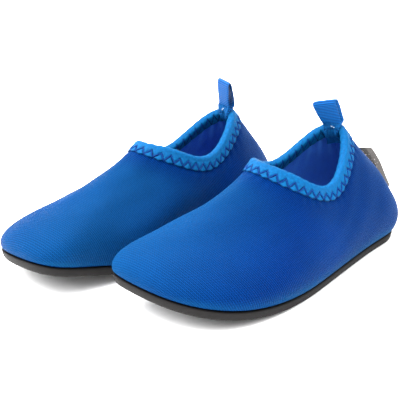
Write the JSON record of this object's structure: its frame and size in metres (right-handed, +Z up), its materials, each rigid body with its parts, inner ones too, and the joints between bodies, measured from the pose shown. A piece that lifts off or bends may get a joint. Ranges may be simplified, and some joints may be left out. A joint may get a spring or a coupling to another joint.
{
  "type": "slip-on neoprene water shoes",
  "caption": "Pair of low-cut slip-on water shoes: stretch neoprene uppers with bound collars, heel pull loops and flexible rubber soles.",
  "frame": {"origin": "middle of the pair's box, on the ground the soles stand on", "axes": "+Z up, toes towards -Y, the left shoe on the +X side"},
  "size_m": [0.1322, 0.1761, 0.0702],
  "materials": {
    "outsole": "moulded matte rubber",
    "insole_board": "pressed fibre board",
    "sockliner": "foam with a knitted cover",
    "upper_shell": "stretch knit on neoprene foam, satin",
    "upper_lining": "fine knit",
    "collar_binding": "folded elastic tape, satin",
    "binding_outer_thread": "polyester thread",
    "binding_inner_thread": "polyester thread",
    "strobel_thread": "polyester thread",
    "pull_loop": "ribbed ribbon",
    "loop_tail": "gathered ribbed ribbon",
    "loop_bar_tack": "dense thread",
    "heel_seam_tape": "woven tape",
    "heel_label": "woven label"
  },
  "bodies": {
    "left_shoe": {"left_outsole": "outsole", "left_insole_board": "insole_board", "left_sockliner": "sockliner", "left_upper_shell": "upper_shell", "left_upper_lining": "upper_lining", "left_collar_binding": "collar_binding", "left_binding_outer_thread": "binding_outer_thread", "left_binding_inner_thread": "binding_inner_thread", "left_strobel_thread": "strobel_thread", "left_loop_tail": "loop_tail", "left_loop_bar_tack": "loop_bar_tack", "left_heel_seam_tape": "heel_seam_tape"},
    "left_loop": {"left_pull_loop": "pull_loop"},
    "right_shoe": {"right_outsole": "outsole", "right_insole_board": "insole_board", "right_sockliner": "sockliner", "right_upper_shell": "upper_shell", "right_upper_lining": "upper_lining", "right_collar_binding": "collar_binding", "right_binding_outer_thread": "binding_outer_thread", "right_binding_inner_thread": "binding_inner_thread", "right_strobel_thread": "strobel_thread", "right_loop_tail": "loop_tail", "right_loop_bar_tack": "loop_bar_tack", "right_heel_seam_tape": "heel_seam_tape"},
    "right_loop": {"right_pull_loop": "pull_loop"},
    "label_flap": {"left_heel_label": "heel_label"}
  },
  "joints": [
    {"name": "shoes_apart", "type": "slide", "parent": "left_shoe", "child": "right_shoe", "axis": [-1, 0, 0], "range_m": [0, 0.15]},
    {"name": "left_loop_fold", "type": "hinge", "parent": "left_shoe", "child": "left_loop", "pos_m": [0.029, 0.04952, 0.05291], "axis": [1, 0, 0], "range_deg": [-75, 50], "stiffness_Nm_per_rad": 0.0002},
    {"name": "right_loop_fold", "type": "hinge", "parent": "right_shoe", "child": "right_loop", "pos_m": [-0.02479, 0.03569, 0.05291], "axis": [0.9982, -0.0593, 0], "range_deg": [-75, 50], "stiffness_Nm_per_rad": 0.0002},
    {"name": "label_fold", "type": "hinge", "parent": "left_shoe", "child": "label_flap", "pos_m": [0.0304, 0.0732, 0.0264], "axis": [0, -0.4873, 0.8732], "range_deg": [-75, 75], "stiffness_Nm_per_rad": 0.0003}
  ]
}
